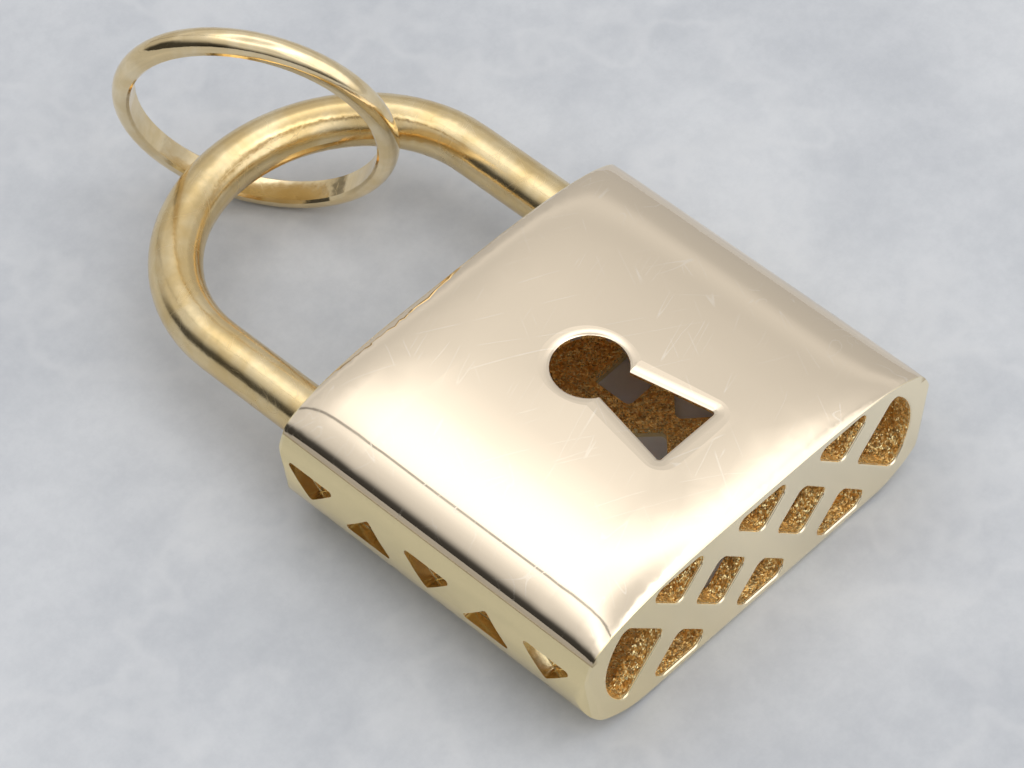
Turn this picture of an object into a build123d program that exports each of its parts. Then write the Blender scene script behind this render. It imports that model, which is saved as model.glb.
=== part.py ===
from build123d import *
import math
import os

# A padlock pendant lying on its back: a hollow, pierced lock body with a keyhole in its
# polished front, a bent rod for a shackle, and a bail ring looped round the shackle.
# Lengths in millimetres, angles in degrees. +Y runs from the body towards the shackle
# and +Z out of the front. Pieces are drawn about the middle of the body and moved once
# at the end, so that the origin is at the bottom centre of the whole pendant.

# Body: the front plate is body_width wide at its seam with the side band. The side band and
# the two ends are wall thick, the polished front and the flat back skin thick. The front is
# level from level_bottom_y to level_top_y and sinks from there to the bottom and the top end.
body_width = 14.0
body_height = 12.2
body_depth = 5.1
seam_height = 1.2
dome_power = 3.4
shoulder_power = 0.6
side_bulge = 0.3
back_squareness = (3.6, 2.8)
level_bottom_y = -3.95
level_top_y = 3.45
crown_fall = 0.22
wall = 0.65
skin = 0.4
end_rounding = 0.35
corner_at_seam = 0.12
corner_at_back = 1.0

# Keyhole in the front: a soft dish all round it, a thin edge, and more room behind the edge
key_circle_radius = 1.17
key_circle_y = 0.58
key_slot_end_y = -3.21
key_slot_top_width = 1.1
key_slot_end_width = 2.4
key_corner_radius = 0.1
key_dish_widths = (0.36, 0.2, 0.1)
key_dish_slopes = (2.0, 2.1, 12.0, 36.0)
key_circle_share = 0.72
key_edge = 0.1
key_relief = 0.5

# Diagonal lattice pierced through the bottom wall
lattice_pitch = 3.43
lattice_bar = 0.86
lattice_border = 0.44
lattice_front_border = 0.57
lattice_end_border = 0.85
lattice_rounding = 0.28
rim_rounding = 0.07
least_hole_area = 0.5

# Zigzag pierced through each side wall
zigzag_count = 5
zigzag_step = 2.33
zigzag_depth = 1.0
zigzag_rounding = 0.1
zigzag_y = 0.12

# Openings through the back wall: a middle row of diamonds, rows of windows above and below
back_diamond = 2.4
back_diamond_pitch = 2.8
back_window_width = 2.0
back_window_height = 1.5
back_window_pitch = 3.45
back_row_pitch = 2.12
back_rounding = 0.2

# Shackle
shackle_wire = 1.66
shackle_spacing = 10.7
shackle_leg = 4.5
shackle_arch = 4.95
shackle_entry = 1.0
seat_clearance = 0.03

# Bail ring: a flat-backed band standing on its edge, turned and leaning as it rests
ring_radius = 4.15
ring_band_width = 0.86
ring_band_thickness = 0.62
ring_flank = 0.22
ring_ease = 0.08
ring_turn = 31.5
ring_lean = 9.5
ring_side = 0.6
ring_below_arch = 0.54

# Derived sizes, and what the drawing shapes overshoot the metal by
half_width = body_width / 2
half_height = body_height / 2
half_depth = body_depth / 2
arch_top = half_height + shackle_leg + shackle_arch
clear = 1.0
end_trim = 0.02
dish_trim = 0.004
outline_steps = 8
crown_steps = 8
crown_margin = 0.1


def lens_points(side_inset=0, lens_inset=0, crown=1):
    """Points across the front of the cross-section in X and Z, from seam to seam."""
    width = half_width - side_inset
    rise = (half_depth - lens_inset - seam_height) * crown
    points = []
    for step in range(-outline_steps, outline_steps + 1):
        across = math.sin(math.radians(90 * step / outline_steps))
        fall = (1 - abs(across) ** dome_power) ** shoulder_power
        points.append((across * width, seam_height + rise * fall))
    return points


def back_points(side_inset, lens_inset):
    """Points round the back of the cross-section, from the widest place to the other."""
    power_x, power_z = back_squareness
    width = half_width + side_bulge - side_inset
    points = []
    for step in range(2 * outline_steps + 1):
        angle = math.radians(90 * step / outline_steps)
        across, down = math.cos(angle), math.sin(angle)
        x = math.copysign(abs(across) ** (2 / power_x), across) * width
        points.append((x, -abs(down) ** (2 / power_z) * (half_depth - lens_inset)))
    return points


def body_section(side_inset, lens_inset):
    """Cross-section: a lens-shaped front with a crisp seam, bulging sides and a rounded back."""
    front = lens_points(side_inset, lens_inset)
    back = back_points(side_inset, lens_inset)
    bulge_radius = (seam_height**2 + side_bulge**2) / (2 * side_bulge)
    flank_z = seam_height / 2
    flank_x = back[0][0] - bulge_radius + math.sqrt(bulge_radius**2 - flank_z**2)
    with BuildSketch() as section:
        with BuildLine():
            Spline(*front)
            Spline(front[-1], (flank_x, flank_z), *back, (-flank_x, flank_z), front[0])
        make_face()
    return section.sketch


def front_section(into_crown):
    """The front above the seam, as a section in X and Z, some share of the way into a crowned end."""
    into = min(into_crown, 1)
    points = lens_points(crown=1 - crown_fall * (1 - (1 - into**dome_power) ** shoulder_power))
    with BuildSketch() as section:
        with BuildLine():
            Spline(*points)
            Line(points[-1], points[0])
        make_face()
    return section.sketch


def lattice_frame():
    """The stretch of the bottom wall that is pierced, with half-round ends."""
    width = body_width + 2 * (side_bulge - lattice_end_border)
    height = body_depth - lattice_border - lattice_front_border
    return Pos(0, (lattice_border - lattice_front_border) / 2) * SlotOverall(width, height)


def along_y(section, start, end):
    """A section in X and Z drawn out along Y from start to end."""
    return extrude(Plane.XZ.offset(-start) * section, end - start, dir=(0, 1, 0))


def front_block():
    """The front above the seam: level round the keyhole, sinking softly towards both ends."""
    block = along_y(front_section(0), level_bottom_y, level_top_y)
    for level_y, side in ((level_bottom_y, -1), (level_top_y, 1)):
        reach = half_height - side * level_y - crown_margin
        stations = [0, crown_margin / 2]
        for step in range(1, crown_steps + 1):
            share = math.sin(math.radians(90 * step / crown_steps))
            stations.append(share * (reach + crown_margin + end_trim))
        block += loft([
            Plane.XZ.offset(-level_y - side * run) * front_section(max(run - crown_margin, 0) / reach)
            for run in stations
        ])
    return block


def body_outside():
    """The body before it is hollowed, with its corners rounded more and more to the back."""
    overall_width = body_width + 2 * side_bulge
    untrimmed_height = body_height + 2 * end_trim
    long_block = along_y(body_section(0, -end_trim), -half_height - clear, half_height + clear)
    at_seam = RectangleRounded(overall_width, untrimmed_height, corner_at_seam)
    at_back = RectangleRounded(overall_width, untrimmed_height, corner_at_back)
    untrimmed_back = -half_depth - end_trim
    basket = loft([Pos(0, 0, seam_height) * at_seam, Pos(0, 0, untrimmed_back) * at_back], ruled=True)
    end_profile = Pos(0, half_depth) * RectangleRounded(body_height, 2 * body_depth, end_rounding)
    rolled_ends = extrude(Plane.YZ.offset(-half_width - clear) * end_profile, body_width + 2 * clear)
    return ((long_block & basket) + front_block()) & rolled_ends


def body_cavity():
    """The hollow inside the walls."""
    return along_y(body_section(wall, skin), wall - half_height, half_height - wall)


def slot_corners():
    """The keyhole's slot, clockwise from the top right."""
    slot_top_y = key_circle_y - key_circle_radius / 2
    return [
        (key_slot_top_width / 2, slot_top_y),
        (key_slot_end_width / 2, key_slot_end_y),
        (-key_slot_end_width / 2, key_slot_end_y),
        (-key_slot_top_width / 2, slot_top_y),
    ]


def keyhole():
    """A round hole with a flared slot below it, through the front wall only."""
    edge_z = half_depth - dish_steps(1)[-1][1] - key_edge
    wide_z = edge_z - key_relief
    circle = Pos(0, key_circle_y) * Circle(key_circle_radius)
    wide_circle = Pos(0, key_circle_y) * Circle(key_circle_radius + key_relief)
    slot = Polygon(*slot_corners(), align=None)
    rounded_slot = fillet(slot.vertices().sort_by(Axis.Y)[:2], key_corner_radius)
    wide_slot = offset(slot, key_relief, kind=Kind.INTERSECTION)
    return [
        extrude(Pos(0, 0, seam_height) * (circle + rounded_slot), half_depth, dir=(0, 0, 1)),
        loft([Pos(0, 0, wide_z) * wide_circle, Pos(0, 0, edge_z) * circle], ruled=True),
        loft([Pos(0, 0, wide_z) * wide_slot, Pos(0, 0, edge_z) * slot], ruled=True),
    ]


def dish_steps(share):
    """The dish from above the front down to the hole, as steps in and down, two to each arc."""
    steps = [(0, -dish_trim)]
    for width, flat, steep in zip(key_dish_widths, key_dish_slopes, key_dish_slopes[1:]):
        inwards, down = steps[-1]
        radius = share * width / (math.sin(math.radians(steep)) - math.sin(math.radians(flat)))
        for slope in ((flat + steep) / 2, steep):
            steps.append((
                inwards + radius * (math.sin(math.radians(slope)) - math.sin(math.radians(flat))),
                down + radius * (math.cos(math.radians(flat)) - math.cos(math.radians(slope))),
            ))
    return steps


def dish_section(hole_reach, share):
    """What the dish round the keyhole takes away, seen from the side. The hole's edge is at hole_reach."""
    steps = dish_steps(share)
    outer = hole_reach + steps[-1][0]
    points = [(outer - inwards, half_depth - down) for inwards, down in steps]
    low = points[-1]
    with BuildSketch() as section:
        with BuildLine():
            Polyline(points[0], (outer, body_depth), (0, body_depth), (0, low[1]))
            if hole_reach:
                Line((0, low[1]), low)
            for index in range(0, len(points) - 1, 2):
                ThreePointArc(*points[index:index + 3])
        make_face()
    return section.sketch


def keyhole_dish():
    """The front's surface dips softly all round the keyhole."""
    top, corner = (Vector(*point) for point in slot_corners()[:2])
    flank = top - corner
    run = key_corner_radius / math.tan(math.radians(flank.get_angle(Vector(-1, 0)) / 2))
    flank_end = corner + flank.normalized() * run
    round_centre = corner + Vector(-run, key_corner_radius)
    base_end = corner + Vector(-run, 0)
    mirrored = [Vector(-point.X, point.Y) for point in (base_end, round_centre, flank_end, top)]
    base_start, left_centre, left_start, left_top = mirrored
    rounds = [
        (Vector(0, key_circle_y), key_circle_radius, key_circle_share),
        (round_centre, key_corner_radius, 1),
        (left_centre, key_corner_radius, 1),
    ]
    cutters = []
    for centre, hole_reach, share in rounds:
        section = Plane(origin=centre, x_dir=(1, 0, 0), z_dir=(0, -1, 0)) * dish_section(hole_reach, share)
        cutters.append(revolve(section, Axis(centre, (0, 0, 1))))
    for start, end in ((top, flank_end), (base_end, base_start), (left_start, left_top)):
        along = end - start
        side = Plane(origin=start, x_dir=Axis.Z.direction.cross(along), z_dir=along)
        cutters.append(extrude(side * dish_section(0, 1), along.length, dir=along))
    return cutters


def diamond(x, y, diagonal):
    """A square standing on its corner."""
    side = diagonal / math.sqrt(2)
    return Pos(x, y) * Rot(0, 0, 45) * Rectangle(side, side)


def hole_outlines(cells, frame, rounding):
    """The cells as far as the frame reaches, with every corner rounded and slivers left out."""
    outlines = []
    for cell in cells:
        for face in (cell & frame).faces():
            if face.area > least_hole_area:
                outlines += offset(offset(face, -rounding), rounding).faces()
    return outlines


def bottom_holes():
    """Diamonds along the middle of the bottom wall, part diamonds beside them, open ends."""
    half_pitch = lattice_pitch / 2
    bar_reach = lattice_bar / math.sqrt(2)
    diagonal = 2 * (half_pitch - bar_reach)
    cells = [diamond(x, 0, diagonal) for x in (-half_pitch, half_pitch)]
    for x in (-lattice_pitch, 0, lattice_pitch):
        cells += [diamond(x, z, diagonal) for z in (-half_pitch, half_pitch)]
    tip = lattice_pitch + bar_reach
    end = half_width + clear
    for side in (-1, 1):
        cells.append(Polygon((side * tip, 0), (side * end, end - tip), (side * end, tip - end), align=None))
    outlines = hole_outlines(cells, lattice_frame(), lattice_rounding)
    return [along_y(outline, -half_height - clear, wall - half_height) for outline in outlines]


def side_holes():
    """A row of triangles in each side wall, pointing to the back and the front in turn."""
    cells = []
    for index in range(zigzag_count):
        y = zigzag_y + (index - (zigzag_count - 1) / 2) * zigzag_step
        points_to = -1 if index % 2 == 0 else 1
        base_z = -points_to * zigzag_depth / 2
        cells.append(Polygon(
            (y - zigzag_depth, base_z),
            (y + zigzag_depth, base_z),
            (y, -base_z),
            align=None,
        ))
    frame = Rectangle(body_height - 2 * lattice_border, 2 * seam_height)
    inner_x = half_width - wall
    reach = wall + side_bulge + clear
    cutters = []
    for outline in hole_outlines(cells, frame, zigzag_rounding):
        for start in (inner_x, -inner_x - reach):
            cutters.append(extrude(Plane.YZ.offset(start) * outline, reach, dir=(1, 0, 0)))
    return cutters


def back_holes():
    """Diamonds across the middle of the back wall, windows above and below them."""
    cells = [diamond(column * back_diamond_pitch, 0, back_diamond) for column in (-1.5, -0.5, 0.5, 1.5)]
    window = Rectangle(back_window_width, back_window_height)
    for row in (-1, 1):
        cells += [Pos(column * back_window_pitch, row * back_row_pitch) * window for column in (-1, 0, 1)]
        cells.append(Pos(0, 2 * row * back_row_pitch) * window)
    frame = Rectangle(body_width, body_height)
    start = -half_depth - clear
    reach = skin / 2 - seam_height - start
    return [
        extrude(Pos(0, 0, start) * outline, reach, dir=(0, 0, 1))
        for outline in hole_outlines(cells, frame, back_rounding)
    ]


def shackle_seats():
    """The two round holes in the top wall that the shackle's ends sit in."""
    seat = Circle(shackle_wire / 2 + seat_clearance)
    return [
        along_y(Pos(side * shackle_spacing / 2, 0) * seat, half_height - wall - clear, half_height + clear)
        for side in (-1, 1)
    ]


def lock_body():
    """Hollow cast body with its front plate soldered on: one solid."""
    shell = body_outside() - body_cavity() - keyhole() - keyhole_dish()
    pierced = shell - bottom_holes() - side_holes()
    bottom = pierced.faces().sort_by(Axis.Y)[0]
    rims = [edge for wire in bottom.inner_wires() for edge in wire.edges()]
    return fillet(rims, rim_rounding) - back_holes() - shackle_seats()


def shackle():
    """A round rod bent to an arch, its ends through the top wall."""
    half_spacing = shackle_spacing / 2
    foot_y = half_height - shackle_entry
    spring_y = half_height + shackle_leg
    path = (
        Line((-half_spacing, foot_y), (-half_spacing, spring_y))
        + EllipticalCenterArc((0, spring_y), half_spacing, shackle_arch, start_angle=0, arc_size=180)
        + Line((half_spacing, spring_y), (half_spacing, foot_y))
    )
    rod = Plane.XZ.offset(-foot_y) * Pos(-half_spacing, 0) * Circle(shackle_wire / 2)
    return sweep(rod, path=path)


def bail_ring():
    """A closed band, flat inside and domed outside, standing on its edge round the shackle."""
    inner = ring_radius - ring_band_thickness / 2
    outer = ring_radius + ring_band_thickness / 2
    edge = ring_band_width / 2
    with BuildSketch(Plane.XZ) as band:
        with BuildLine():
            Polyline(
                (inner + ring_flank, edge),
                (inner + ring_ease, edge),
                (inner, edge - ring_ease),
                (inner, ring_ease - edge),
                (inner + ring_ease, -edge),
                (inner + ring_flank, -edge),
            )
            ThreePointArc((inner + ring_flank, -edge), (outer, 0), (inner + ring_flank, edge))
        make_face()
    flat_ring = revolve(band.sketch, Axis.Z)
    tilt = math.radians(ring_lean)
    turn = math.radians(ring_turn)
    across = (math.cos(turn) * math.cos(tilt), math.sin(turn) * math.cos(tilt), math.sin(tilt))
    standing = Plane((ring_side, arch_top - ring_below_arch, 0), z_dir=across) * flat_ring
    return Pos(0, 0, -half_depth - standing.bounding_box().min.Z) * standing


pieces = {"lock_body": lock_body(), "shackle": shackle(), "bail_ring": bail_ring()}
whole = Compound(list(pieces.values())).bounding_box()
to_origin = Pos(-whole.center().X, -whole.center().Y, -whole.min.Z)

os.makedirs("parts", exist_ok=True)
for name, piece in pieces.items():
    export_step(to_origin * piece, f"parts/{name}.step")
    print(name, "volume", round(piece.volume, 2), "valid", piece.is_valid, "solids", len(piece.solids()))
print("box", whole.size, "origin moved by", to_origin.position)
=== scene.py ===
# %% [markdown]
# # A gold padlock pendant, dressed from its CAD frame
#
# The solids come from the CAD model: a hollow cast body with a polished front, a bent rod
# for a shackle and a bail ring. They keep their places and their form here. This script
# gives each one the gold that it has on the real jewel, and lights them as jewellery is
# lit on a table. Every length is in metres, in the frame of the CAD model: the pendant
# lies on its back, +Y runs from the body to the shackle and +Z out of the polished front.

# %% Load the frame
import math

import bmesh
import bpy
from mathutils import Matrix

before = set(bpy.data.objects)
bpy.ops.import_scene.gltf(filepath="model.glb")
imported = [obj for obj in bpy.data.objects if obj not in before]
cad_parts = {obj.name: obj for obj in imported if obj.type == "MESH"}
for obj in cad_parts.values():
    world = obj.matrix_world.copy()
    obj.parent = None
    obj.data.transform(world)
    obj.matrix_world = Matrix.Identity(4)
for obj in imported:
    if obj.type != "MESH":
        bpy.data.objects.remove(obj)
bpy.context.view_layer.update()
MM = 0.001
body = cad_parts["lock_body"]
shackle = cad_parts["shackle"]
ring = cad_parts["bail_ring"]

# %% [markdown]
# ## The camera
#
# The view is from above the bottom left corner of the pendant, about 50 degrees above the
# table, through a long lens that keeps the pendant's far side almost as large as its near
# one. The place, the three angles and the focal length were measured on the outline of the
# body, its keyhole and its pierced bottom. A camera set up by eye would do for a single
# picture, but then nothing could be laid over the photograph and compared.

# %% Camera
camera_data = bpy.data.cameras.new("camera")
camera_data.sensor_width = 36.0
camera_data.lens = 161.5
camera_data.clip_start = 0.005
camera_data.clip_end = 10.0
camera = bpy.data.objects.new("camera", camera_data)
camera.location = (-0.060384, -0.064404, 0.105846)
camera.rotation_euler = [math.radians(angle) for angle in (39.638, 1.442, -46.080)]
bpy.context.scene.collection.objects.link(camera)
bpy.context.scene.camera = camera
print("the camera is", round(camera.location.length / MM, 1), "mm from the origin")

# %% [markdown]
# ## The floor
#
# The pendant lies on a pale stone slab that runs out of the picture on every side, so one
# large flat square is enough.

# %% Floor
FLOOR_HALF_SIDE = 1.5

floor_mesh = bpy.data.meshes.new("floor")
floor_form = bmesh.new()
bmesh.ops.create_grid(floor_form, x_segments=1, y_segments=1, size=FLOOR_HALF_SIDE)
floor_form.to_mesh(floor_mesh)
floor_form.free()
floor = bpy.data.objects.new("floor", floor_mesh)
bpy.context.scene.collection.objects.link(floor)
print("floor of", 2 * FLOOR_HALF_SIDE, "m")

# %% [markdown]
# ## A shorthand for node trees
#
# The finishes below are all procedural: patterns worked out from a place on the metal, with
# no picture behind them. A node tree written out call by call is long and hard to follow.
# The class below adds one node per call and hands back the output that it makes, so that a
# pattern reads like a sum.


# %% Node helpers
class Weaver:
    """Adds nodes to one tree, each call returning the output that it makes."""

    def __init__(self, tree):
        self.tree = tree
        self.shader = tree.nodes.get("Principled BSDF")

    def put(self, kind, values=(), output=0, **settings):
        """A node with some inputs filled and some settings made."""
        node = self.tree.nodes.new(kind)
        for name, value in settings.items():
            setattr(node, name, value)
        self.fill(node, values)
        return node.outputs[output]

    def fill(self, node, values):
        """Links each output to its input, and sets each plain value."""
        for slot, value in dict(values).items():
            if isinstance(value, bpy.types.NodeSocket):
                self.tree.links.new(value, node.inputs[slot])
            else:
                node.inputs[slot].default_value = value

    def math(self, operation, a, b=0.0, c=0.0):
        return self.put("ShaderNodeMath", {0: a, 1: b, 2: c}, operation=operation)

    def smooth(self, value, low, high, start=0.0, end=1.0):
        """A soft step from start to end as the value goes from low to high."""
        values = {0: value, 1: low, 2: high, 3: start, 4: end}
        return self.put("ShaderNodeMapRange", values, interpolation_type="SMOOTHSTEP")

    def near(self, distance, reach):
        """One up to the first distance of a reach, nothing from the second one on."""
        return self.smooth(distance, *reach, 1.0, 0.0)

    def noise(self, place, per_mm, detail=2.0, roughness=0.5):
        """Soft noise, with so many lumps to a millimetre."""
        values = {"Vector": place, "Scale": per_mm, "Detail": detail, "Roughness": roughness}
        return self.put("ShaderNodeTexNoise", values)

    def blend(self, factor, a, b):
        return self.put("ShaderNodeMix", {0: factor, 6: a, 7: b}, 2, data_type="RGBA")

    def blend_value(self, factor, a, b):
        return self.put("ShaderNodeMix", {0: factor, 2: a, 3: b}, 0, data_type="FLOAT")

    def group(self, tree, output, **values):
        """A node group placed with its own values."""
        node = self.tree.nodes.new("ShaderNodeGroup")
        node.node_tree = tree
        self.fill(node, {name.replace("_", " "): value for name, value in values.items()})
        return node.outputs[output]

    def place_in_mm(self, centre=(0.0, 0.0, 0.0), turn=(0.0, 0.0, 0.0), stretch=(1.0, 1.0, 1.0)):
        """The object's own coordinates in millimetres from a centre, which may be stretched."""
        scale = tuple(share / MM for share in stretch)
        shift = tuple(-c * share for c, share in zip(centre, stretch))
        spot = self.put("ShaderNodeTexCoord", output="Object")
        values = {"Vector": spot, "Scale": scale, "Location": shift, "Rotation": turn}
        return self.put("ShaderNodeMapping", values)

    def along(self, direction, way):
        """How far a direction points one way, from -1 to 1."""
        return self.put("ShaderNodeVectorMath", {0: direction, 1: way}, 1, operation="DOT_PRODUCT")

    def bump(self, height_in_mm, **normal):
        """A normal bent by a height."""
        values = {"Height": height_in_mm, "Distance": MM, "Strength": 1.0, **normal}
        return self.put("ShaderNodeBump", values)

    def dress(self, **values):
        """Sets the shader's inputs. A name's underscores stand for spaces."""
        self.fill(self.shader, {name.replace("_", " "): value for name, value in values.items()})


def new_material(name):
    """An empty node material and the weaver of its tree."""
    material = bpy.data.materials.new(name)
    material.use_nodes = True
    return material, Weaver(material.node_tree)


def new_group(name, inputs, outputs):
    """An empty node group with named number sockets, and a weaver for its inside."""
    tree = bpy.data.node_groups.new(name, "ShaderNodeTree")
    for socket, value in inputs.items():
        made = tree.interface.new_socket(socket, in_out="INPUT", socket_type="NodeSocketFloat")
        made.default_value = value
    for socket in outputs:
        tree.interface.new_socket(socket, in_out="OUTPUT", socket_type="NodeSocketFloat")
    given = tree.nodes.new("NodeGroupInput").outputs
    result = tree.nodes.new("NodeGroupOutput").inputs
    return Weaver(tree), given, result


print("helpers ready")

# %% [markdown]
# ## The stone of the floor
#
# The slab is honed, not polished: it takes soft shadows but mirrors nothing. Two sizes of
# cloud and a few pale veins keep it from looking like painted card, and they are kept weak,
# because the eye should stay on the gold.

# %% Floor material
STONE_DARK = (0.485, 0.505, 0.541, 1)
STONE_PALE = (0.630, 0.646, 0.673, 1)
VEIN = (0.66, 0.67, 0.69, 1)
VEIN_STRENGTH = 0.30
CLOUD_SHARE = 0.68

floor_material, w = new_material("pale_floor")
spot = w.place_in_mm()
clouds = w.noise(spot, 0.13, detail=3.0, roughness=0.6)
specks = w.noise(spot, 1.1, detail=4.0, roughness=0.8)
large = w.smooth(clouds, 0.3, 0.7, 0.0, CLOUD_SHARE)
small = w.smooth(specks, 0.3, 0.7, 0.0, 1 - CLOUD_SHARE)
mottle = w.math("ADD", large, small)
vein_noise = w.noise(spot, 0.08, detail=4.0, roughness=0.62)
off_vein = w.math("ABSOLUTE", w.math("SUBTRACT", vein_noise, 0.5))
veins = w.smooth(off_vein, 0.0, 0.03, VEIN_STRENGTH, 0.0)
w.dress(
    Base_Color=w.blend(veins, w.blend(mottle, STONE_DARK, STONE_PALE), VEIN),
    Roughness=w.smooth(specks, 0.3, 0.7, 0.50, 0.62),
)
floor.data.materials.append(floor_material)
print("floor material", floor_material.name)

# %% [markdown]
# ## Hairline scratches
#
# A polished gold pendant that has been worn has fine scratches in many directions, and they
# gather in patches. Where a slow noise passes through its middle value it draws a thin line.
# Stretched a long way in one direction, such lines become nearly straight. Three sets are
# turned against each other, and a second noise, not stretched, keeps a short piece of a few
# lines here and there and rubs out the rest. Real grooves cut in the mesh would need
# millions of triangles for the same look.

# %% Scratch group
# Each set's turn in radians, its size against the others and its shift along X in mm.
SCRATCH_SETS = ((0.5, 1.0, 0.0), (2.1, 0.8, 7.0), (1.25, 1.5, 3.0))
SCRATCH_STRETCH = 0.03
SCRATCH_TIP = (0.05, 0.03)
PATCH_SIZE = 0.6

scratch_inputs = {"Per mm": 1.0, "Density": 0.5, "Fineness": 0.006}
g, given, result = new_group("hairline_scratches", scratch_inputs, ["Lines"])
lines = None
for turn, size, shift in SCRATCH_SETS:
    origin = (shift, 0, 0)
    turned = g.place_in_mm(origin, (SCRATCH_TIP[0] * turn, SCRATCH_TIP[1], turn))
    drawn_out = {"Vector": turned, "Scale": (size, size * SCRATCH_STRETCH, size)}
    spot = g.put("ShaderNodeMapping", drawn_out)
    hairs = g.noise(spot, given["Per mm"], detail=0.5)
    off_hair = g.math("ABSOLUTE", g.math("SUBTRACT", hairs, 0.5))
    patch_scale = g.math("MULTIPLY", given["Per mm"], PATCH_SIZE)
    patches = g.noise(g.place_in_mm(origin), patch_scale, detail=0.0)
    kept = g.smooth(g.math("MULTIPLY_ADD", given["Density"], 0.2, patches), 0.62, 0.74)
    drawn = g.math("MULTIPLY", g.smooth(off_hair, 0.0, given["Fineness"], 1.0, 0.0), kept)
    lines = drawn if lines is None else g.math("MAXIMUM", lines, drawn)
g.tree.links.new(lines, result["Lines"])
scratch_group = g.tree
print("scratch group with", len(g.tree.nodes), "nodes")

# %% [markdown]
# ## Cast grain
#
# The inside of the body was never touched by a polisher. It keeps the skin of the casting:
# small sharp grains that sparkle, on broad soft lumps. Cell noise gives each grain its own
# slope, which is what makes it flash, and a height that the slopes lie on.

# %% Grain group
SAND_SIZE, LUMP_SIZE = 0.9, 0.16
LUMP_HEIGHT, CELL_HEIGHT = 3.0, -0.5

g, given, result = new_group("cast_grain", {"Per mm": 8.0}, ["Height", "Chance"])
g.tree.interface.new_socket("Slope", in_out="OUTPUT", socket_type="NodeSocketVector")
spot = g.place_in_mm()
cells = g.put("ShaderNodeTexVoronoi", {"Vector": spot, "Scale": given["Per mm"]}).node
sand = g.noise(spot, g.math("MULTIPLY", given["Per mm"], SAND_SIZE), detail=2.0)
lumps = g.noise(spot, g.math("MULTIPLY", given["Per mm"], LUMP_SIZE), detail=1.0)
ground = g.math("MULTIPLY_ADD", lumps, LUMP_HEIGHT, sand)
height = g.math("MULTIPLY_ADD", cells.outputs["Distance"], CELL_HEIGHT, ground)
from_middle = {0: cells.outputs["Color"], 1: (0.5, 0.5, 0.5)}
slope = g.put("ShaderNodeVectorMath", from_middle, operation="SUBTRACT")
chance = g.put("ShaderNodeSeparateXYZ", {0: cells.outputs["Color"]})
g.tree.links.new(height, result["Height"])
g.tree.links.new(chance, result["Chance"])
g.tree.links.new(slope, g.tree.nodes["Group Output"].inputs["Slope"])
grain_group = g.tree
print("grain group with", len(g.tree.nodes), "nodes")

# %% [markdown]
# ## Where each finish lies on the body
#
# The body is one solid with three finishes. The front is a mirror, the side band and the
# pierced ends are satin, and the walls of the holes and the hollow are rough cast. The CAD
# body has one material slot, so the finishes are told apart by where a point lies: how far
# it is under the front's own curve, from the ends, from the sides and above the back. The
# first cell works these distances out from the curves that the body was drawn with.

# %% Distances from the body's faces
BODY_CENTRE = (0.0, -6.397, 2.55)
HALF_WIDTH, BULGED_HALF_WIDTH, HALF_HEIGHT = 7.0, 7.3, 6.1
SEAM, FRONT_RISE, BACK_DEPTH = 1.2, 1.35, 2.57
LEVEL_BOTTOM, LEVEL_TOP, CROWN_FALL = -3.95, 3.45, 0.22
FRONT_CURVE = (3.4, 0.6)
BACK_CURVE = (3.6, 1 / 2.8)

body_material, w = new_material("body_gold_look")
centred = w.place_in_mm(BODY_CENTRE)
split = w.put("ShaderNodeSeparateXYZ", {0: centred}).node
x, y, z = split.outputs
out_x = w.math("ABSOLUTE", x)
from_end = w.math("SUBTRACT", HALF_HEIGHT, w.math("ABSOLUTE", y))
from_side = w.math("SUBTRACT", BULGED_HALF_WIDTH, out_x)


def arch(w, share, power, root):
    """One in the middle, falling to nothing where the share reaches one."""
    rest = w.math("SUBTRACT", 1.0, w.math("POWER", share, power))
    return w.math("POWER", w.math("MAXIMUM", rest, 0.0), root)


past_bottom = w.math("DIVIDE", w.math("SUBTRACT", LEVEL_BOTTOM, y), HALF_HEIGHT + LEVEL_BOTTOM)
past_top = w.math("DIVIDE", w.math("SUBTRACT", y, LEVEL_TOP), HALF_HEIGHT - LEVEL_TOP)
into_end = w.math("MAXIMUM", w.math("MAXIMUM", past_bottom, past_top), 0.0)
crown = w.math("MULTIPLY_ADD", arch(w, into_end, *FRONT_CURVE), CROWN_FALL, 1 - CROWN_FALL)
lens = arch(w, w.math("DIVIDE", out_x, HALF_WIDTH), *FRONT_CURVE)
front_z = w.math("MULTIPLY_ADD", w.math("MULTIPLY", lens, crown), FRONT_RISE, SEAM)
under_front = w.math("SUBTRACT", front_z, z)
back_arch = arch(w, w.math("DIVIDE", out_x, BULGED_HALF_WIDTH), *BACK_CURVE)
above_back = w.math("MULTIPLY_ADD", back_arch, BACK_DEPTH, z)
print("the distances take", len(w.tree.nodes), "nodes")

# %% [markdown]
# A mask is one where its finish lies and nothing elsewhere. Each reach below holds two
# distances in from a face: the finish is whole up to the first and gone at the second. That
# soft step, a few hundredths of a millimetre wide, stands for the polisher's border.
# Splitting the mesh would give sharper borders, but the body then wouldn't be the CAD solid
# any more.

# %% Body masks
FRONT_REACH, BACK_REACH = (0.185, 0.20), (0.18, 0.20)
END_FACE_REACH, END_REACH = (0.02, 0.05), (0.08, 0.10)
SIDE_REACH = (0.40, 0.44)
CORNER_SIDE_REACH, CORNER_END_REACH = (0.78, 0.80), (0.40, 0.42)
SEAM_SOFTNESS = 0.01

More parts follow.
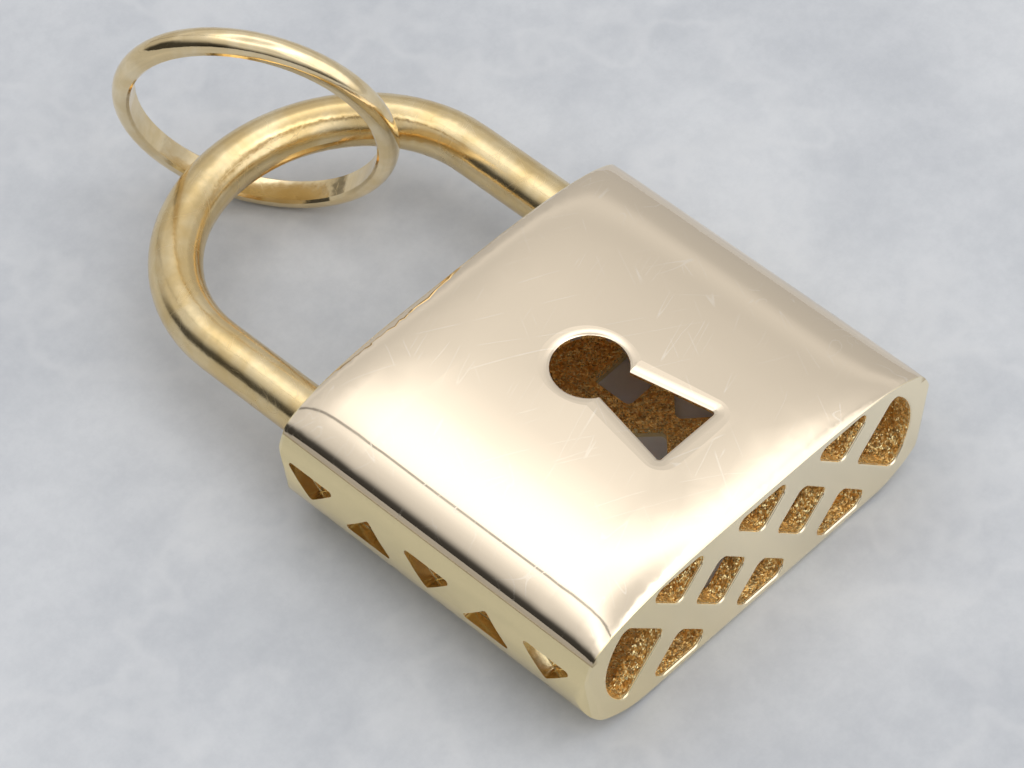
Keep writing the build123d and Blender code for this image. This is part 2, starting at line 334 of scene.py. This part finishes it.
above_seam = w.smooth(z, SEAM - SEAM_SOFTNESS, SEAM + SEAM_SOFTNESS)
below_seam = w.math("SUBTRACT", 1.0, above_seam)
front = w.math("MULTIPLY", w.near(under_front, FRONT_REACH), above_seam)
end_face = w.near(from_end, END_FACE_REACH)
mirror = w.math("MULTIPLY", front, w.math("SUBTRACT", 1.0, end_face))
ends = w.near(from_end, END_REACH)
flank = w.math("MULTIPLY", w.near(from_side, SIDE_REACH), below_seam)
near_side = w.near(from_side, CORNER_SIDE_REACH)
near_end = w.near(from_end, CORNER_END_REACH)
corner = w.math("MULTIPLY", near_side, near_end)
back = w.near(above_back, BACK_REACH)
satin = w.math("MAXIMUM", w.math("MAXIMUM", ends, flank), w.math("MAXIMUM", corner, back))
outside = w.math("MAXIMUM", satin, front)
inside = w.math("SUBTRACT", 1.0, outside)
satin_only = w.math("SUBTRACT", outside, mirror)
print("with the masks there are", len(w.tree.nodes), "nodes")

# %% [markdown]
# The seam between front and side holds a thin dark line of tarnished metal, strongest at the
# rim, where no polishing wheel gets in. Above it a painted dark reflection fades up the edge
# of the front: the dark strip that the rolled edge mirrors, also kept to the rim.

# %% Tarnished seam line and painted dark reflection on the front's edge
SEAM_LINE_REACH, SEAM_LINE_STRENGTH = (0.012, 0.04), 0.8
EDGE_SHADE_REACH, EDGE_SHADE_STRENGTH = (0.05, 0.45), 0.55
RIM_REACH = (0.40, 0.55)

off_seam = w.math("ABSOLUTE", w.math("SUBTRACT", z, SEAM))
seam_line = w.smooth(off_seam, *SEAM_LINE_REACH, SEAM_LINE_STRENGTH, 0.0)
# edge_shade paints a dark reflection up the front's edge: a painted reflection.
edge_shade = w.smooth(off_seam, *EDGE_SHADE_REACH, EDGE_SHADE_STRENGTH, 0.0)
edge_shade = w.math("MULTIPLY", edge_shade, above_seam)
at_rim = w.near(from_side, RIM_REACH)
# The mix holds the tarnished seam line and the painted dark reflection above it.
tarnish_and_painted_reflection = w.math("MULTIPLY", w.math("MAXIMUM", seam_line, edge_shade), at_rim)
print("with the tarnish there are", len(w.tree.nodes), "nodes")

# %% [markdown]
# ## The gold of the body
#
# The front is a paler gold than the rest: a polished plate soldered on, which mirrors the
# studio in long soft bands. The satin metal is yellower and a little uneven, and on the ends
# it is painted darker and deeper towards -X, a painted shade. The cast metal is deeper still,
# because light bounces between its grains and takes up more of the gold at each bounce.
# Along the scratches the plate is painted paler, a painted glint for the light they catch.

# %% Colours of the body
PLATE = (0.905, 0.772, 0.600, 1)
# The paler colour painted along the scratches: a painted glint.
SCRATCH_GLINT = (1.0, 0.92, 0.80, 1)
END_PALE = (0.98, 0.865, 0.63, 1)
# The ends' colour towards -X, darkened as painted shade.
END_PAINTED_SHADE = (0.94, 0.80, 0.50, 1)
SIDE = (0.88, 0.735, 0.425, 1)
CAST_LOW = (0.93, 0.55, 0.16, 1)
CAST_HIGH = (1.0, 0.84, 0.44, 1)
# The dark colour of the tarnished seam line and of the painted dark reflection above it.
TARNISH_AND_REFLECTION_TINT = (0.45, 0.33, 0.17, 1)
# How much of the painted glint colour the scratches take, and their roughness.
SCRATCH_GLINT_SHARE, SCRATCH_ROUGHNESS = 0.4, 0.16

lines = w.group(scratch_group, "Lines", Per_mm=1.5, Density=0.48, Fineness=0.008)
grain_node = w.group(grain_group, "Height", Per_mm=15.0).node
grain, chance, slope = (grain_node.outputs[name] for name in ("Height", "Chance", "Slope"))
drift = w.noise(centred, 0.9, detail=2.0, roughness=0.6)
cast = w.blend(w.smooth(chance, 0.2, 0.95), CAST_LOW, CAST_HIGH)
# The ends are painted darker and deeper towards -X, with a noisy border: painted shade.
along_end = w.math("MULTIPLY_ADD", drift, 3.0, x)
end_colour = w.blend(w.smooth(along_end, -6.5, 3.5), END_PAINTED_SHADE, END_PALE)
satin_colour = w.blend(ends, SIDE, end_colour)
# Along the scratches the plate is painted paler: a painted glint.
plate_colour = w.blend(w.math("MULTIPLY", lines, SCRATCH_GLINT_SHARE), PLATE, SCRATCH_GLINT)
bare = w.blend(inside, w.blend(mirror, satin_colour, plate_colour), cast)
# Darkened by the tarnished seam line and by the painted dark reflection on the front's edge.
body_colour = w.blend(tarnish_and_painted_reflection, bare, TARNISH_AND_REFLECTION_TINT)
print("with the colours there are", len(w.tree.nodes), "nodes")

# %% [markdown]
# ## How smooth the body is
#
# A worn mirror is never quite flat, so a slow swell of a few thousandths of a millimetre
# bends the bands on the front a little. The satin has a fine tooth. On the cast metal each
# grain is tilted its own way, and a few grains are smooth enough to flash.

# %% Roughness and relief of the body
# Heights in mm of the reliefs that the finishes carry.
GRAIN_RELIEF, SATIN_RELIEF, SATIN_DRIFT, MIRROR_SWELL = 0.040, 0.0018, 0.008, 0.016
GRAIN_TILT = 1.1
# How much less metallic the dull skin of the casting is.
CAST_DULLNESS = 0.25

fine = w.noise(centred, 14.0, detail=2.0, roughness=0.65)
swell = w.noise(centred, 0.30, detail=0.0)
plate_wear = w.smooth(drift, 0.35, 0.7, 0.040, 0.065)
rough_mirror = w.math("MULTIPLY_ADD", lines, SCRATCH_ROUGHNESS, plate_wear)
rough_satin = w.smooth(fine, 0.3, 0.7, 0.16, 0.25)
rough_cast = w.smooth(chance, 0.55, 0.85, 0.48, 0.16)
rough = w.blend_value(inside, w.blend_value(mirror, rough_satin, rough_mirror), rough_cast)

relief = w.math("MULTIPLY", w.math("MULTIPLY", grain, inside), GRAIN_RELIEF)
relief = w.math("MULTIPLY_ADD", w.math("MULTIPLY", fine, satin_only), SATIN_RELIEF, relief)
relief = w.math("MULTIPLY_ADD", w.math("MULTIPLY", drift, satin_only), SATIN_DRIFT, relief)
relief = w.math("MULTIPLY_ADD", w.math("MULTIPLY", swell, mirror), MIRROR_SWELL, relief)
steepness = w.math("MULTIPLY", inside, GRAIN_TILT)
tilt = w.put("ShaderNodeVectorMath", {0: slope, "Scale": steepness}, operation="SCALE")
straight = w.put("ShaderNodeNewGeometry", output="Normal")
tilted = w.put("ShaderNodeVectorMath", {0: straight, 1: tilt}, operation="ADD")
level = w.put("ShaderNodeVectorMath", {0: tilted}, operation="NORMALIZE")
w.dress(
    Base_Color=body_colour,
    Metallic=w.math("MULTIPLY_ADD", inside, -CAST_DULLNESS, 1.0),
    Roughness=rough,
    Normal=w.bump(relief, Normal=level),
)
body.material_slots[0].material = body_material
print("body material", body_material.name, "with", len(w.tree.nodes), "nodes")

# %% [markdown]
# ## The shackle's gold
#
# The rod is a yellower gold than the front. It was rubbed with a fine cloth, not buffed to a
# mirror, so its highlights are soft, and small dents and rubbing marks break them up.

# %% Shackle material
SHACKLE_DEEP = (0.74, 0.550, 0.265, 1)
SHACKLE_PALE = (0.82, 0.660, 0.390, 1)
ROD_DENTS, ROD_RUB = 0.016, 0.0015
ROD_SCRATCHES = 0.10

shackle_material, w = new_material("shackle_gold_look")
spot = w.place_in_mm()
lines = w.group(scratch_group, "Lines", Per_mm=1.6, Density=0.75, Fineness=0.015)
dents = w.noise(spot, 1.1, detail=2.0)
rub_spot = w.place_in_mm(turn=(0, 0, 0.35), stretch=(1.0, 0.12, 1.0))
rub = w.noise(rub_spot, 9.0, detail=4.0, roughness=0.7)
drift = w.noise(spot, 0.7, detail=3.0, roughness=0.6)
relief = w.math("MULTIPLY_ADD", dents, ROD_DENTS, w.math("MULTIPLY", rub, ROD_RUB))
w.dress(
    Base_Color=w.blend(w.smooth(drift, 0.35, 0.68), SHACKLE_DEEP, SHACKLE_PALE),
    Metallic=1.0,
    Roughness=w.math("MULTIPLY_ADD", lines, ROD_SCRATCHES, w.smooth(rub, 0.3, 0.7, 0.16, 0.24)),
    Normal=w.bump(relief),
)
shackle.material_slots[0].material = shackle_material
print("shackle material", shackle_material.name, "with", len(w.tree.nodes), "nodes")

# %% [markdown]
# ## The ring's gold
#
# The ring is the best polished piece, and the most knocked about: it swings against the
# shackle all day. It gets a low roughness, a faint swell and a finer set of hairlines.

# %% Ring material
RING_DEEP = (0.82, 0.64, 0.36, 1)
RING_PALE = (0.91, 0.76, 0.50, 1)
RING_DENTS = 0.008
RING_SCRATCHES = 0.12

ring_material, w = new_material("ring_gold_look")
spot = w.place_in_mm()
lines = w.group(scratch_group, "Lines", Per_mm=2.0, Density=0.6, Fineness=0.012)
dents = w.noise(spot, 1.6, detail=2.0)
drift = w.noise(spot, 0.8, detail=3.0, roughness=0.6)
relief = w.math("MULTIPLY", dents, RING_DENTS)
w.dress(
    Base_Color=w.blend(w.smooth(drift, 0.35, 0.68), RING_DEEP, RING_PALE),
    Metallic=1.0,
    Roughness=w.math("MULTIPLY_ADD", lines, RING_SCRATCHES, w.smooth(drift, 0.3, 0.7, 0.07, 0.13)),
    Normal=w.bump(relief),
)
ring.material_slots[0].material = ring_material
print("ring material", ring_material.name, "with", len(w.tree.nodes), "nodes")

# %% [markdown]
# ## The studio
#
# Polished gold shows what stands round it, so the light here is a room and not a lamp: a
# white ceiling, brightest in a ring round its middle, that fades down the walls, a bright
# window beyond the pendant's bottom, a dark side on its left and a narrow dark gap in the
# ceiling. Their heights and strengths were read off the bands on the front and the rod:
# each band shows the room in the one direction that the curve there mirrors. A few lamps
# would light the floor as well, but they would put hard spots on the metal.

# %% The ceiling
# How high a direction looks, and how bright the room is there.
CEILING = [(0.0, 0.50), (0.26, 0.55), (0.38, 0.55), (0.48, 0.80), (0.58, 0.62), (0.70, 0.74),
           (0.78, 0.82), (0.84, 1.2), (0.89, 1.8), (0.93, 1.6), (0.97, 1.0), (1.0, 0.75)]
TOP_LEVEL = 2.0

world = bpy.data.worlds.new("studio")
bpy.context.scene.world = world
world.use_nodes = True
w = Weaver(world.node_tree)
direction = w.put("ShaderNodeTexCoord")
up = w.put("ShaderNodeSeparateXYZ", {0: direction}, 2)
sky = w.put("ShaderNodeValToRGB", {0: up})
ramp = sky.node.color_ramp
ramp.interpolation = "B_SPLINE"
while len(ramp.elements) < len(CEILING):
    ramp.elements.new(0.5)
for element, (at, level) in zip(ramp.elements, CEILING):
    element.position = at
    element.color = (*[level / TOP_LEVEL] * 3, 1)
print("the ceiling's light has", len(ramp.elements), "steps")

# %% [markdown]
# Two zones are darkened. One lies low on the pendant's left and makes the dark strip along
# the front's edge. The other stands where a photographer would, low behind the camera. The
# gap is a thin dark band across the whole ceiling, where two white screens would meet.

# %% Dark zones, window and gap
DARK_SIDE, DARK_STRENGTH = math.radians(158), 0.90
CAMERA_SIDE, CAMERA_STRENGTH = math.radians(225), 0.85
WINDOW_WAY, WINDOW_LEVEL = (0.198, -0.740, 0.643), 0.85
GAP_NORMAL, GAP_LEVEL = (-0.966, 0.01, -0.26), 0.35

dark_way = (math.cos(DARK_SIDE), math.sin(DARK_SIDE), 0)
towards = w.along(direction, dark_way)
dark = w.math("MULTIPLY", w.smooth(towards, 0.66, 0.86), w.near(up, (0.30, 0.74)))
shade = w.math("MULTIPLY_ADD", dark, -DARK_STRENGTH, 1.0)
front_way = (math.cos(CAMERA_SIDE), math.sin(CAMERA_SIDE), 0)
facing = w.along(direction, front_way)
camera_dark = w.math("MULTIPLY", w.smooth(facing, 0.60, 0.92), w.near(up, (0.05, 0.40)))
camera_shade = w.math("MULTIPLY_ADD", camera_dark, -CAMERA_STRENGTH, 1.0)
shade = w.math("MULTIPLY", shade, camera_shade)
off_gap = w.along(direction, GAP_NORMAL)
gap = w.smooth(w.math("ABSOLUTE", off_gap), 0.008, 0.022, GAP_LEVEL, 1.0)
near_window = w.along(direction, WINDOW_WAY)
window = w.smooth(near_window, 0.74, 0.93, 0.0, WINDOW_LEVEL)
room = w.math("MULTIPLY_ADD", sky, TOP_LEVEL, window)
light = w.math("MULTIPLY", w.math("MULTIPLY", room, shade), gap)
background = world.node_tree.nodes["Background"]
w.fill(background, {"Color": (1.0, 1.0, 1.0, 1), "Strength": light})
bpy.context.scene.view_settings.view_transform = "Standard"
print("world", world.name, "with", len(w.tree.nodes), "nodes")
